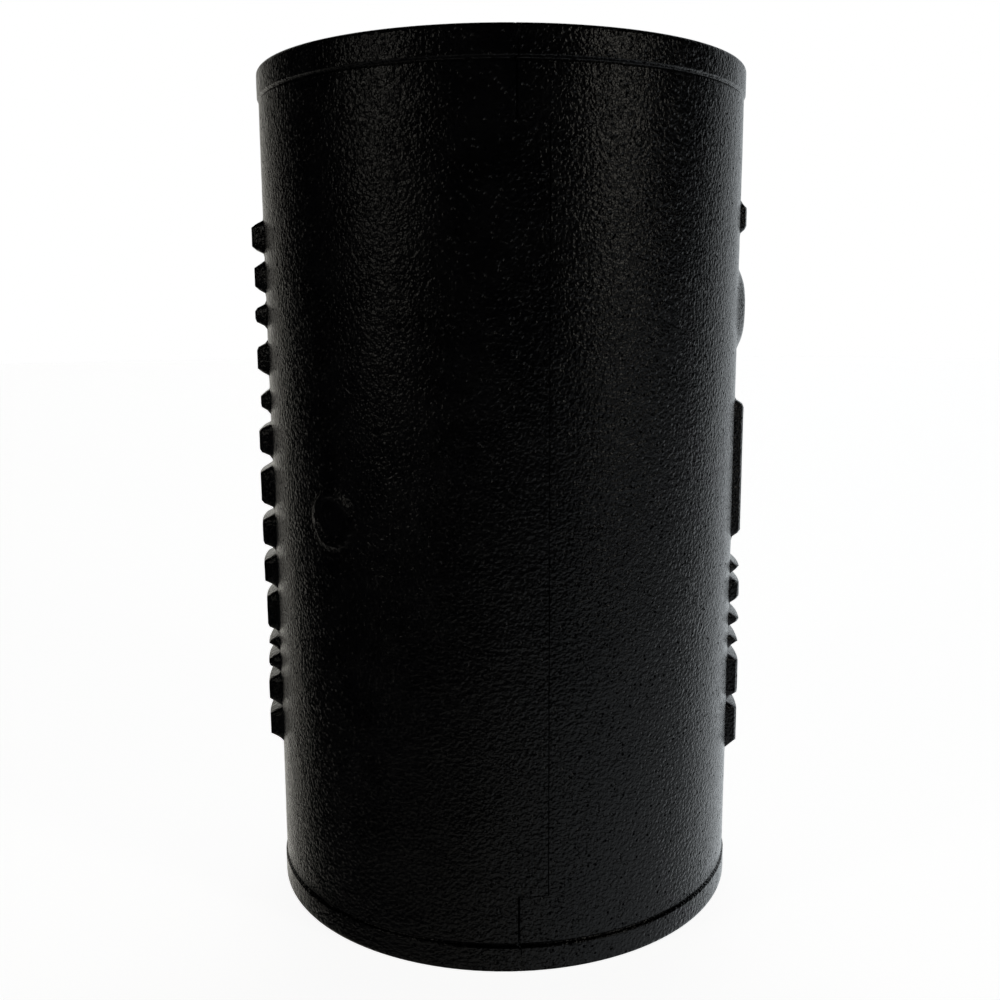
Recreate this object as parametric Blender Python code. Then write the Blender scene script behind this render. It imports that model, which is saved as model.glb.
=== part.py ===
"""A hinged pipe repair clamp in coated cast iron, for one size of pipe.

Two half shells with rubber liners close round the pipe. They turn on a pin whose knuckles lie flush
inside the wall of the front seam, and three swing bolts draw them together across the rear seam.

Metres, +Z along the pipe, -Y towards the front seam, origin on the pipe's axis at the lower end face.
Angles round the pipe are in degrees from the front seam, positive towards the right half (+X).
"""

import math

import bmesh
import bpy
from mathutils import Matrix, Vector

MM = 0.001

# Driving dimensions
PIPE_RADIUS = 88.9 * MM / 2
CLAMP_LENGTH = 200 * MM
BODY_RADIUS = 58 * MM
WALL = 9 * MM
CLEARANCE = 0.3 * MM
BOLT_COUNT = 3
BOLT_RADIUS = 6 * MM

# Shell
SHELL_STEPS = 36
INNER_RADIUS = BODY_RADIUS - WALL
END_LIP_RADIUS = PIPE_RADIUS + 1.3 * MM
END_LIP_WIDTH = 3.5 * MM
BEAD_RISE = 0.35 * MM
BEAD_WIDTH = 6.6 * MM
RIM_ROUND = 1.2 * MM
FRONT_HALF_GAP = 0.3 * MM
REAR_HALF_GAP = 2.5 * MM

# Flush hinge in the front seam: one long knuckle on the left half, between two short ones on the right
HINGE_Y = -(BODY_RADIUS - WALL / 2)
KNUCKLE_RADIUS = WALL / 2 - 0.1 * MM
KNUCKLE_STEPS = 24
KNUCKLE_SKIN_RADIUS = 5.05 * MM
KNUCKLE_SKIN_ANGLE = 32
NOTCH_RADIUS = 5.3 * MM
END_KNUCKLE_LENGTH = 18 * MM
END_KNUCKLE_SKIN_RADIUS = 5.45 * MM
END_NOTCH_RADIUS = 5.7 * MM
SEAM_OVERLAP_ANGLE = 7
HINGE_PIN_RADIUS = 2.25 * MM
HINGE_HOLE_RADIUS = 2.5 * MM
PIN_SCREW_DEPTH = 0.6 * MM
PIN_SCREW_LENGTH = 5 * MM

# Liner
LINER_OUTER_RADIUS = INNER_RADIUS - CLEARANCE
LINER_INNER_RADIUS = PIPE_RADIUS + CLEARANCE
LINER_HALF_GAP = 0.4 * MM
BRIDGE_THICKNESS = 0.8 * MM
BRIDGE_LEFT_ANGLE = 14
BRIDGE_RIGHT_ANGLE = 8.5
BRIDGE_POCKET_DEPTH = BRIDGE_THICKNESS + 2 * CLEARANCE

# Rear flanges and lugs
RIB_THICKNESS = 10 * MM
RIB_TOP = 63 * MM
RIB_ROOT = INNER_RADIUS + 0.6 * MM
BOLT_Y = 71 * MM
BOLT_PITCH = CLAMP_LENGTH / BOLT_COUNT
SLOT_HALF_WIDTH = 6.75 * MM
LUG_HALF_WIDTH = 18 * MM
LUG_TOP = 80 * MM
LUG_CHAMFER = 3 * MM
LUG_FACE_X = 17 * MM
GUSSET_WIDTH = 4.5 * MM
EAR_WIDTH = 7.5 * MM
EAR_RADIUS = 9.5 * MM
CLEVIS_X = -13 * MM
CLEVIS_RADIUS = 4 * MM
CLEVIS_HOLE_RADIUS = CLEVIS_RADIUS + CLEARANCE
CLEVIS_HEAD_RADIUS = 6.5 * MM
CLEVIS_HEAD_HEIGHT = 3 * MM
CLEVIS_TAIL = 6 * MM
SPLIT_PIN_RADIUS = 1.2 * MM
SPLIT_PIN_REACH = 8 * MM

# Swing bolts, washers and nuts
EYE_RADIUS = 10.5 * MM
EYE_HALF_WIDTH = 6.25 * MM
NUT_SLACK = 15 * MM
WASHER_RADIUS = 12 * MM
WASHER_THICKNESS = 2.5 * MM
NUT_ACROSS_FLATS = 18 * MM
NUT_THICKNESS = 10.8 * MM
BOLT_TIP_PROUD = 3.5 * MM
WASHER_X = LUG_FACE_X + NUT_SLACK
NUT_X = WASHER_X + WASHER_THICKNESS + CLEARANCE
BOLT_TIP_X = NUT_X + NUT_THICKNESS + BOLT_TIP_PROUD

# Plain raised casting marks: from and to along the pipe, and rise, in millimetres
MARK_DRAFT = 1.1 * MM
MARK_END_DRAFT = 1.6 * MM
MARK_HALF_ANGLE = 8
LEFT_MARKS_ANGLE = -90.5
LEFT_MARKS = (
    (37, 45.8, 3), (46.2, 54.8, 3), (55.2, 60.2, 2.8), (60.8, 64.8, 2.6), (65.4, 76.4, 2.7),
    (77, 85.6, 3), (86.6, 95.8, 3), (97, 107.8, 3), (109.6, 118.2, 2.9), (120.5, 126.5, 2.2),
    (129.5, 138, 2.6), (141, 147.2, 2.7), (149, 157, 2.5), (158.3, 166.5, 2.8),
)  # fmt: skip
RIGHT_MARKS_ANGLE = 80
RIGHT_MARKS = (
    (33.5, 45.8, 2.7), (46.5, 58.5, 2.7), (60, 64, 2.5), (65.5, 69.7, 2.6), (71.5, 78.8, 2.4),
    (79.3, 83, 2.3), (88.5, 123.5, 2.2), (162.5, 170.5, 1.5),
)  # fmt: skip
ROUNDEL_ANGLE = 84
ROUNDEL_HEIGHT = 145 * MM
ROUNDEL_RADIUS = 13 * MM
ROUNDEL_EDGE_RISE = 0.6 * MM
ROUNDEL_TOP_RADIUS = 7 * MM
ROUNDEL_RISE = 2.2 * MM
RING_MARK_ANGLE = -47
RING_MARK_RADIUS = 6.5 * MM
RING_MARK_WIDTH = 1.6 * MM
RING_MARK_RISE = 0.6 * MM


def clear_scene():
    for obj in list(bpy.data.objects):
        bpy.data.objects.remove(obj)


def make_material(name, colour, roughness, metallic):
    material = bpy.data.materials.new(name)
    material.use_nodes = True
    shader = material.node_tree.nodes["Principled BSDF"]
    shader.inputs["Base Color"].default_value = (*colour, 1)
    shader.inputs["Roughness"].default_value = roughness
    shader.inputs["Metallic"].default_value = metallic
    return material


def polar(radius, degrees, height=0.0):
    """The point at this distance from the pipe's axis and this angle from the front seam."""
    angle = math.radians(degrees)
    return Vector((radius * math.sin(angle), -radius * math.cos(angle), height))


def to_object(name, mesh, material):
    """An object made from a bmesh, with its faces pointing out and its round sides shaded smooth."""
    bmesh.ops.recalc_face_normals(mesh, faces=mesh.faces)
    data = bpy.data.meshes.new(name)
    mesh.to_mesh(data)
    mesh.free()
    data.shade_smooth()
    data.set_sharp_from_angle(angle=math.radians(35))
    if material:
        data.materials.append(material)
    obj = bpy.data.objects.new(name, data)
    bpy.context.scene.collection.objects.link(obj)
    return obj


def join_rings(mesh, rings):
    """Faces between neighbouring rings of vertices, and a cap on the first and the last."""
    for near, far in zip(rings, rings[1:]):
        for k, vertex in enumerate(near):
            after = (k + 1) % len(near)
            mesh.faces.new((vertex, near[after], far[after], far[k]))
    mesh.faces.new(rings[0])
    mesh.faces.new(list(reversed(rings[-1])))


def swept(name, profile, start, end, steps, material=None):
    """The (radius, height) outline turned about the pipe's axis from one angle to another."""
    mesh = bmesh.new()
    rings = []
    for i in range(steps + 1):
        angle = start + (end - start) * i / steps
        rings.append([mesh.verts.new(polar(r, angle, z)) for r, z in profile])
    join_rings(mesh, rings)
    return to_object(name, mesh, material)


def add_prism(mesh, outline, low, high, turn=Matrix.Identity(4)):
    """The (x, y) outline extruded from low to high along z, then turned."""
    rings = [[mesh.verts.new(turn @ Vector((x, y, z))) for x, y in outline] for z in (low, high)]
    join_rings(mesh, rings)


def circle(radius, sides, centre=(0.0, 0.0)):
    """A circle's outline, with a flat side at each of its four quarter points."""
    return [
        (
            centre[0] + radius * math.cos(math.tau * (i + 0.5) / sides),
            centre[1] + radius * math.sin(math.tau * (i + 0.5) / sides),
        )
        for i in range(sides)
    ]


def arc(radius, centre, start, end, steps):
    """Points on an arc about a centre, from one angle to another, counted from +X."""
    return [
        (
            centre[0] + radius * math.cos(math.radians(start + (end - start) * i / steps)),
            centre[1] + radius * math.sin(math.radians(start + (end - start) * i / steps)),
        )
        for i in range(steps + 1)
    ]


def combine(target, mesh, operation, name):
    """Joins a solid to the target, or cuts it away."""
    tool = to_object(f"{target.name}.{name}", mesh, None)
    tool.hide_render = True
    tool.display_type = "WIRE"
    modifier = target.modifiers.new(name, "BOOLEAN")
    modifier.operation = operation
    modifier.solver = "EXACT"
    modifier.object = tool


def hang_on(obj, pivot):
    """Parents an object to an empty on its joint's axis, leaving it where it is."""
    obj.parent = pivot
    obj.location = -pivot.location


def make_pivot(name, place):
    pivot = bpy.data.objects.new(name, None)
    pivot.location = place
    bpy.context.scene.collection.objects.link(pivot)
    return pivot


# Turns an outline drawn in x and y, extruded along z, so that the extrusion runs along +X.
ALONG_X = Matrix(((0, 0, 1, 0), (0, 1, 0, 0), (-1, 0, 0, 0), (0, 0, 0, 1)))


def bolt_heights():
    return [BOLT_PITCH * (i + 0.5) for i in range(BOLT_COUNT)]


def shell_profile():
    """The wall's section: a lip at each end holds the liner, and each rim has a shallow bead."""
    bead = BODY_RADIUS + BEAD_RISE
    rim_corner = RIM_ROUND * (1 - math.cos(math.pi / 4))
    lower_outside = [
        (bead - RIM_ROUND, 0),
        (bead - rim_corner, rim_corner),
        (bead, RIM_ROUND),
        (bead, BEAD_WIDTH - BEAD_RISE),
        (BODY_RADIUS, BEAD_WIDTH),
    ]
    upper_outside = [(r, CLAMP_LENGTH - z) for r, z in reversed(lower_outside)]
    inside = [
        (END_LIP_RADIUS, CLAMP_LENGTH),
        (END_LIP_RADIUS, CLAMP_LENGTH - END_LIP_WIDTH),
        (INNER_RADIUS, CLAMP_LENGTH - END_LIP_WIDTH),
        (INNER_RADIUS, END_LIP_WIDTH),
        (END_LIP_RADIUS, END_LIP_WIDTH),
        (END_LIP_RADIUS, 0),
    ]
    return lower_outside + upper_outside + inside


def around_hinge(radius, degrees):
    """The point at this distance from the hinge's axis, and this angle from straight outwards."""
    angle = math.radians(degrees)
    return (radius * math.sin(angle), HINGE_Y - radius * math.cos(angle))


def knuckle_edge(degrees, skin_radius):
    """A knuckle's radius: round inside the wall, and wider where it fills the wall's outer face."""
    beyond = (abs(degrees) - KNUCKLE_SKIN_ANGLE) / KNUCKLE_SKIN_ANGLE
    share = min(max(beyond, 0), 1)
    return skin_radius + (KNUCKLE_RADIUS - skin_radius) * share


def seam_cutter(mesh, side, own, skin_radius, notch_radius, low, high):
    """What a half loses at the seam over one span: all but its own knuckle, or room for the other's."""
    if own:
        inner_end = 180 - math.degrees(math.asin(FRONT_HALF_GAP / KNUCKLE_RADIUS))
        outer_end = -math.degrees(math.asin(FRONT_HALF_GAP / skin_radius))
    else:
        opening = math.degrees(math.asin(FRONT_HALF_GAP / notch_radius))
        inner_end, outer_end = 180 + opening, 360 - opening
    reach = 3 * WALL
    outline = [
        (-FRONT_HALF_GAP, HINGE_Y - WALL),
        (reach, HINGE_Y - WALL),
        (reach, HINGE_Y + WALL),
        (-FRONT_HALF_GAP, HINGE_Y + WALL),
    ]
    for i in range(KNUCKLE_STEPS + 1):
        degrees = inner_end + (outer_end - inner_end) * i / KNUCKLE_STEPS
        radius = knuckle_edge(degrees, skin_radius) if own else notch_radius
        outline.append(around_hinge(radius, degrees))
    add_prism(mesh, [(-side * x, y) for x, y in outline], low, high)


def add_hinge(shell, side):
    """Shapes a half's edge at the front seam, with its knuckles, and bores the pin's hole."""
    half_gap = CLEARANCE / 2
    low = END_KNUCKLE_LENGTH - side * half_gap
    high = CLAMP_LENGTH - low
    ends, centre = bmesh.new(), bmesh.new()
    for start, end in ((-WALL, low), (high, CLAMP_LENGTH + WALL)):
        seam_cutter(ends, side, side > 0, END_KNUCKLE_SKIN_RADIUS, END_NOTCH_RADIUS, start, end)
    combine(shell, ends, "DIFFERENCE", "seam_ends")
    seam_cutter(centre, side, side < 0, KNUCKLE_SKIN_RADIUS, NOTCH_RADIUS, low, high)
    combine(shell, centre, "DIFFERENCE", "seam_middle")
    hole = bmesh.new()
    outline = circle(HINGE_HOLE_RADIUS, 16, (0, HINGE_Y))
    add_prism(hole, outline, -WALL, CLAMP_LENGTH + WALL)
    combine(shell, hole, "DIFFERENCE", "hinge_hole")


def add_rib(shell, side):
    """The low flange that stiffens a half along the rear seam."""
    near, far = REAR_HALF_GAP * side, (REAR_HALF_GAP + RIB_THICKNESS) * side
    outline = [(near, RIB_ROOT), (far, RIB_ROOT), (far, RIB_TOP - 2 * MM), (far - 2 * MM * side, RIB_TOP)]
    outline.append((near, RIB_TOP))
    rib = bmesh.new()
    add_prism(rib, outline, END_LIP_WIDTH, CLAMP_LENGTH - END_LIP_WIDTH)
    combine(shell, rib, "UNION", "rib")


def add_fork_lugs(shell):
    """The right half's lugs: a slotted block with a flat bearing face and two gussets for each bolt."""
    blocks, gussets, slots = bmesh.new(), bmesh.new(), bmesh.new()
    root = RIB_ROOT + 2 * MM
    block = [
        (REAR_HALF_GAP, root),
        (LUG_FACE_X, root),
        (LUG_FACE_X, LUG_TOP - LUG_CHAMFER),
        (LUG_FACE_X - LUG_CHAMFER, LUG_TOP),
        (REAR_HALF_GAP + LUG_CHAMFER, LUG_TOP),
        (REAR_HALF_GAP, LUG_TOP - LUG_CHAMFER),
    ]
    gusset = [
        (10 * MM, 51 * MM),
        (LUG_FACE_X - MM, BOLT_Y + MM),
        (LUG_FACE_X + MM, BOLT_Y),
        (36 * MM, 46 * MM),
        (32 * MM, 42 * MM),
    ]
    slot = [(SLOT_HALF_WIDTH, LUG_TOP + WALL)] + arc(SLOT_HALF_WIDTH, (0, BOLT_Y), 0, -180, 8)
    slot.append((-SLOT_HALF_WIDTH, LUG_TOP + WALL))
    for z in bolt_heights():
        add_prism(blocks, block, z - LUG_HALF_WIDTH, z + LUG_HALF_WIDTH)
        for low in (z - LUG_HALF_WIDTH + CLEARANCE, z + LUG_HALF_WIDTH - GUSSET_WIDTH - CLEARANCE):
            add_prism(gussets, gusset, low, low + GUSSET_WIDTH)
        add_prism(slots, slot, -WALL, LUG_FACE_X + WALL, Matrix.Translation((0, 0, z)) @ ALONG_X)
    combine(shell, blocks, "UNION", "fork_lugs")
    combine(shell, gussets, "UNION", "gussets")
    combine(shell, slots, "DIFFERENCE", "slots")


def add_clevis_lugs(shell):
    """The left half's lugs: a pair of ears for each bolt's eye, with a hole for the clevis pin."""
    ears, gaps, hole = bmesh.new(), bmesh.new(), bmesh.new()
    centre = (CLEVIS_X, BOLT_Y)
    outline = [(-REAR_HALF_GAP, RIB_ROOT + 2 * MM), (-REAR_HALF_GAP - CLEARANCE, BOLT_Y)]
    outline += arc(EAR_RADIUS, centre, 30, 165, 9)
    outline += [(-34 * MM, 46 * MM), (-30 * MM, 43 * MM)]
    gap = [
        (CLEVIS_X - 3 * EYE_RADIUS, BOLT_Y - EYE_RADIUS - MM),
        (0, BOLT_Y - EYE_RADIUS - MM),
        (0, LUG_TOP + WALL),
        (CLEVIS_X - 3 * EYE_RADIUS, LUG_TOP + WALL),
    ]
    for z in bolt_heights():
        for low in (z - SLOT_HALF_WIDTH - EAR_WIDTH, z + SLOT_HALF_WIDTH):
            add_prism(ears, outline, low, low + EAR_WIDTH)
        add_prism(gaps, gap, z - SLOT_HALF_WIDTH, z + SLOT_HALF_WIDTH)
        reach = SLOT_HALF_WIDTH + EAR_WIDTH + MM
        add_prism(hole, circle(CLEVIS_HOLE_RADIUS, 16, centre), z - reach, z + reach)
    combine(shell, ears, "UNION", "ears")
    combine(shell, gaps, "DIFFERENCE", "eye_gaps")
    combine(shell, hole, "DIFFERENCE", "clevis_holes")


def add_marks(shell, centre_angle, spans):
    """Plain raised bars in a row along the pipe, with drafted sides, as a casting has."""
    steps = 3
    top_half_angle = MARK_HALF_ANGLE - math.degrees(MARK_DRAFT / BODY_RADIUS)
    marks = bmesh.new()
    for low, high, rise in spans:
        rings = []
        top_radius = BODY_RADIUS + rise * MM
        for i in range(steps + 1):
            share = 2 * i / steps - 1
            base = centre_angle + share * MARK_HALF_ANGLE
            top = centre_angle + share * top_half_angle
            rings.append(
                [
                    marks.verts.new(polar(BODY_RADIUS - MM, base, low * MM)),
                    marks.verts.new(polar(BODY_RADIUS - MM, base, high * MM)),
                    marks.verts.new(polar(top_radius, top, high * MM - MARK_END_DRAFT)),
                    marks.verts.new(polar(top_radius, top, low * MM + MARK_END_DRAFT)),
                ]
            )
        join_rings(marks, rings)
    combine(shell, marks, "UNION", "marks")


def outward_at(degrees, height):
    """Turns z into the direction that points away from the pipe's axis at this angle and height."""
    outward = polar(1, degrees)
    upward = Vector((0, 0, 1))
    sideways = upward.cross(outward)
    turn = Matrix((sideways, upward, outward)).transposed().to_4x4()
    return Matrix.Translation((0, 0, height)) @ turn


def add_ring_mark(shell):
    """A plain raised ring half way up the left half."""
    turn = outward_at(RING_MARK_ANGLE, CLAMP_LENGTH / 2)
    sides = 24
    levels = (BODY_RADIUS - 2 * MM, BODY_RADIUS + RING_MARK_RISE)
    ring = bmesh.new()
    loops = []
    for radius in (RING_MARK_RADIUS, RING_MARK_RADIUS - RING_MARK_WIDTH):
        for level in levels if radius == RING_MARK_RADIUS else reversed(levels):
            loops.append([ring.verts.new(turn @ Vector((x, y, level))) for x, y in circle(radius, sides)])
    for near, far in zip(loops, loops[1:] + loops[:1]):
        for k in range(sides):
            after = (k + 1) % sides
            ring.faces.new((near[k], near[after], far[after], far[k]))
    combine(shell, ring, "UNION", "ring_mark")


def add_roundel(shell):
    """A plain raised disc with sloping sides, above the right half's row of marks."""
    turn = outward_at(ROUNDEL_ANGLE, ROUNDEL_HEIGHT)
    steps = (
        (ROUNDEL_RADIUS, -3 * MM),
        (ROUNDEL_RADIUS - 0.5 * MM, ROUNDEL_EDGE_RISE),
        (ROUNDEL_TOP_RADIUS, ROUNDEL_RISE),
    )
    disc = bmesh.new()
    loops = []
    for radius, rise in steps:
        outline = circle(radius, 24)
        loops.append([disc.verts.new(turn @ Vector((x, y, BODY_RADIUS + rise))) for x, y in outline])
    join_rings(disc, loops)
    combine(shell, disc, "UNION", "roundel")


def make_half_shell(name, side, material):
    """One half's wall, with its share of the hinge and its flange."""
    start = -SEAM_OVERLAP_ANGLE
    end = 180 - math.degrees(math.asin((REAR_HALF_GAP + 0.6 * MM) / BODY_RADIUS))
    shell = swept(name, shell_profile(), start * side, end * side, SHELL_STEPS, material)
    add_rib(shell, side)
    add_hinge(shell, side)
    return shell


def make_left_shell(material):
    shell = make_half_shell("left_shell", -1, material)
    add_clevis_lugs(shell)
    add_marks(shell, LEFT_MARKS_ANGLE, LEFT_MARKS)
    add_ring_mark(shell)
    return shell


def make_right_shell(material):
    shell = make_half_shell("right_shell", 1, material)
    add_fork_lugs(shell)
    add_marks(shell, RIGHT_MARKS_ANGLE, RIGHT_MARKS)
    add_roundel(shell)
    return shell


def make_liner(name, side, material):
    """A half's rubber liner, with a pocket outside its rear edge for the bridge plate."""
    low, high = END_LIP_WIDTH + CLEARANCE, CLAMP_LENGTH - END_LIP_WIDTH - CLEARANCE
    start = math.degrees(math.asin(LINER_HALF_GAP / LINER_INNER_RADIUS))
    profile = [
        (LINER_INNER_RADIUS, low),
        (LINER_OUTER_RADIUS, low),
        (LINER_OUTER_RADIUS, high),
        (LINER_INNER_RADIUS, high),
    ]
    liner = swept(name, profile, start * side, (180 - start) * side, SHELL_STEPS, material)
    pocket_angle = (BRIDGE_LEFT_ANGLE if side < 0 else BRIDGE_RIGHT_ANGLE) + 1
    pocket = bmesh.new()
    near, far = 90 - side * pocket_angle, 90 + side * 2
    outline = arc(LINER_OUTER_RADIUS - BRIDGE_POCKET_DEPTH, (0, 0), near, far, 6)
    outline += arc(LINER_OUTER_RADIUS + 2 * MM, (0, 0), far, near, 6)
    add_prism(pocket, outline, 0, CLAMP_LENGTH)
    combine(liner, pocket, "DIFFERENCE", "bridge_pocket")
    return liner


def make_bridge_plate(material):
    """The thin plate that backs the liners where they cross the rear seam, fixed to the left one."""
    low, high = END_LIP_WIDTH + CLEARANCE, CLAMP_LENGTH - END_LIP_WIDTH - CLEARANCE
    outer = LINER_OUTER_RADIUS - CLEARANCE / 3
    inner = outer - BRIDGE_THICKNESS
    profile = [(inner, low), (outer, low), (outer, high), (inner, high)]
    return swept("bridge_plate", profile, -180 - BRIDGE_RIGHT_ANGLE, -180 + BRIDGE_LEFT_ANGLE, 8, material)


def make_hinge_rod(name, low, high, material):
    """A length of steel in the hinge's bore: the pin itself, or a grub screw beyond its end."""
    mesh = bmesh.new()
    add_prism(mesh, circle(HINGE_PIN_RADIUS, 16, (0, HINGE_Y)), low, high)
    return to_object(name, mesh, material)


def make_pin_screws(material):
    """The grub screws in the end knuckles that keep the hinge pin in its hole."""
    low, high = PIN_SCREW_DEPTH, PIN_SCREW_DEPTH + PIN_SCREW_LENGTH
    lower = make_hinge_rod("pin_screw_lower", low, high, material)
    upper = make_hinge_rod("pin_screw_upper", CLAMP_LENGTH - high, CLAMP_LENGTH - low, material)
    return lower, upper


def make_swing_bolt(number, height, material):
    """A bolt whose eye turns on the clevis pin, drawn with the eye at the origin and the shank along +X."""
    mesh = bmesh.new()
    add_prism(mesh, circle(EYE_RADIUS, 28), -EYE_HALF_WIDTH, EYE_HALF_WIDTH)
    bolt = to_object(f"swing_bolt_{number}", mesh, material)
    shank = bmesh.new()
    add_prism(shank, circle(BOLT_RADIUS, 20), EYE_RADIUS * 0.7, BOLT_TIP_X - CLEVIS_X, ALONG_X)
    combine(bolt, shank, "UNION", "shank")
    hole = bmesh.new()
    add_prism(hole, circle(CLEVIS_HOLE_RADIUS, 16), -2 * EYE_HALF_WIDTH, 2 * EYE_HALF_WIDTH)
    combine(bolt, hole, "DIFFERENCE", "eye_hole")
    place = Vector((CLEVIS_X, BOLT_Y, height))
    bolt.location = place
    for tool in [m.object for m in bolt.modifiers]:
        tool.location = place
    return bolt


def make_ring_part(name, outline, hole_radius, thickness, place, material):
    """A washer or nut on a bolt: an outline extruded along +X from its place, with a round hole."""
    mesh = bmesh.new()
    add_prism(mesh, outline, 0, thickness, ALONG_X)
    part = to_object(name, mesh, material)
    hole = bmesh.new()
    add_prism(hole, circle(hole_radius, 20), -thickness, 2 * thickness, ALONG_X)
    combine(part, hole, "DIFFERENCE", "hole")
    part.location = place
    part.modifiers["hole"].object.location = place
    return part


def make_clevis_pin(number, height, material):
    """A headed pin through both ears and the bolt's eye, cross-drilled below for its split pin."""
    centre = (CLEVIS_X, BOLT_Y)
    reach = SLOT_HALF_WIDTH + EAR_WIDTH + CLEARANCE
    mesh = bmesh.new()
    add_prism(mesh, circle(CLEVIS_RADIUS, 16, centre), height - reach - CLEVIS_TAIL, height + reach + MM)
    pin = to_object(f"clevis_pin_{number}", mesh, material)
    head = bmesh.new()
    seat = height + reach
    add_prism(head, circle(CLEVIS_HEAD_RADIUS, 20, centre), seat, seat + CLEVIS_HEAD_HEIGHT)
    combine(pin, head, "UNION", "head")
    hole = bmesh.new()
    turn = Matrix.Translation((0, BOLT_Y, split_pin_height(height))) @ ALONG_X
    add_prism(hole, circle(SPLIT_PIN_RADIUS + CLEARANCE, 12), 2 * CLEVIS_X, 0, turn)
    combine(pin, hole, "DIFFERENCE", "cross_hole")
    return pin


def split_pin_height(height):
    return height - SLOT_HALF_WIDTH - EAR_WIDTH - CLEVIS_TAIL / 2


def make_split_pin(number, height, material):
    """A split pin across the clevis pin's tail, with a flat loop for a head."""
    turn = Matrix.Translation((0, BOLT_Y, split_pin_height(height))) @ ALONG_X
    low, high = CLEVIS_X - SPLIT_PIN_REACH, CLEVIS_X + SPLIT_PIN_REACH
    mesh = bmesh.new()
    add_prism(mesh, circle(SPLIT_PIN_RADIUS, 12), low, high, turn)
    pin = to_object(f"split_pin_{number}", mesh, material)
    loop = bmesh.new()
    centre = (low - SPLIT_PIN_RADIUS, BOLT_Y)
    z = split_pin_height(height)
    half = SPLIT_PIN_RADIUS * 0.7
    add_prism(loop, circle(2 * SPLIT_PIN_RADIUS, 12, centre), z - half, z + half)
    combine(pin, loop, "UNION", "loop")
    return pin


def make_fastening(number, height, steel, zinc):
    """One swing bolt with its washer, nut, clevis pin and split pin."""
    make_swing_bolt(number, height, zinc)
    washer_place = Vector((WASHER_X, BOLT_Y, height))
    washer_outline = circle(WASHER_RADIUS, 28)
    make_ring_part(
        f"washer_{number}", washer_outline, BOLT_RADIUS + 0.5 * MM, WASHER_THICKNESS, washer_place, zinc
    )
    nut_place = Vector((NUT_X, BOLT_Y, height))
    nut_outline = circle(NUT_ACROSS_FLATS / 2 / math.cos(math.pi / 6), 6)
    make_ring_part(f"nut_{number}", nut_outline, BOLT_RADIUS + CLEARANCE, NUT_THICKNESS, nut_place, zinc)
    make_clevis_pin(number, height, steel)
    make_split_pin(number, height, steel)


def main():
    clear_scene()
    iron = make_material("coated_cast_iron", (0.006, 0.006, 0.007), 0.34, 0.0)
    rubber = make_material("rubber", (0.016, 0.016, 0.017), 0.7, 0.0)
    zinc = make_material("zinc_plated_steel", (0.56, 0.56, 0.54), 0.35, 1.0)
    steel = make_material("bright_steel", (0.5, 0.5, 0.5), 0.3, 1.0)

    make_left_shell(iron)
    make_liner("left_liner", -1, rubber)
    make_bridge_plate(steel)
    pin_end = PIN_SCREW_DEPTH + PIN_SCREW_LENGTH + CLEARANCE
    make_hinge_rod("hinge_pin", pin_end, CLAMP_LENGTH - pin_end, steel)

    hinge = make_pivot("right_half_pivot", Vector((0, HINGE_Y, 0)))
    right_shell = make_right_shell(iron)
    right_liner = make_liner("right_liner", 1, rubber)
    for obj in (right_shell, right_liner, *make_pin_screws(steel)):
        hang_on(obj, hinge)

    for number, height in enumerate(bolt_heights(), 1):
        make_fastening(number, height, steel, zinc)


main()
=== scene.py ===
"""The looks of the pipe repair clamp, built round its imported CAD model.

Metres, in the CAD frame: +Z along the pipe, -Y towards the hinged front seam, +Y towards the bolts.
Angles round the pipe are in degrees from the front seam, positive towards the half that opens.
"""

import math

import bmesh
import bpy
from mathutils import Matrix, Vector, noise


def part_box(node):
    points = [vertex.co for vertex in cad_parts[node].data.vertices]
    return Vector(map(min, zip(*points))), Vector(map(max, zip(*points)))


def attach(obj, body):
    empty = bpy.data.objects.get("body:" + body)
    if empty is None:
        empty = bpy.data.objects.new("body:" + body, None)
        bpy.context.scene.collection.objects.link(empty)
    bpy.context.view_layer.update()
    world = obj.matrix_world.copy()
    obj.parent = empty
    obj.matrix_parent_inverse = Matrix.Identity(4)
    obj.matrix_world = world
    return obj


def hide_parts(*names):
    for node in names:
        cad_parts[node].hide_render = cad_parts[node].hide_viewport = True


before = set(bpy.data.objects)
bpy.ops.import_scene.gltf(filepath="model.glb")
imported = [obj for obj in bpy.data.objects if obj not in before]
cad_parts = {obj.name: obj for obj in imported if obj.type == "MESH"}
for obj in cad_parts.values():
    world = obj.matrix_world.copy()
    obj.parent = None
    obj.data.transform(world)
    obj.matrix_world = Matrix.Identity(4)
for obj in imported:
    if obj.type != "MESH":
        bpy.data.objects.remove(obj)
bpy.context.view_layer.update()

MM = 0.001

# The clamp's main sizes, as the CAD model has them
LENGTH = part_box("left_shell")[1].z
BODY_RADIUS = 58 * MM
INNER_RADIUS = 49 * MM
LIP_RADIUS = 45.75 * MM
LIP_WIDTH = 3.5 * MM
BEAD_RISE = 0.35 * MM
BEAD_WIDTH = 6.6 * MM
RIM_ROUND = 1.2 * MM
FRONT_HALF_GAP = 0.3 * MM
REAR_HALF_GAP = 2.5 * MM
HINGE_Y = -53.5 * MM
SEAM_OVERLAP_ANGLE = 7
KNUCKLE_RADIUS = 4.4 * MM
KNUCKLE_STEPS = 48
KNUCKLE_SKIN_RADIUS = 5.2 * MM
KNUCKLE_SKIN_ANGLE = 32
KNUCKLE_HALF_GAP = 0.09 * MM
NOTCH_RADIUS = 5.3 * MM
END_KNUCKLE_LENGTH = 18 * MM
END_KNUCKLE_SKIN_RADIUS = 5.6 * MM
END_NOTCH_RADIUS = 5.7 * MM
PIN_HOLE_RADIUS = 2.5 * MM
CLEVIS = Vector((-13 * MM, 71 * MM, 0))
CLEVIS_HOLE_RADIUS = 4.3 * MM
SLOT_HALF_WIDTH = 6.75 * MM
LUG_FACE_X = 17 * MM
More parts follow.
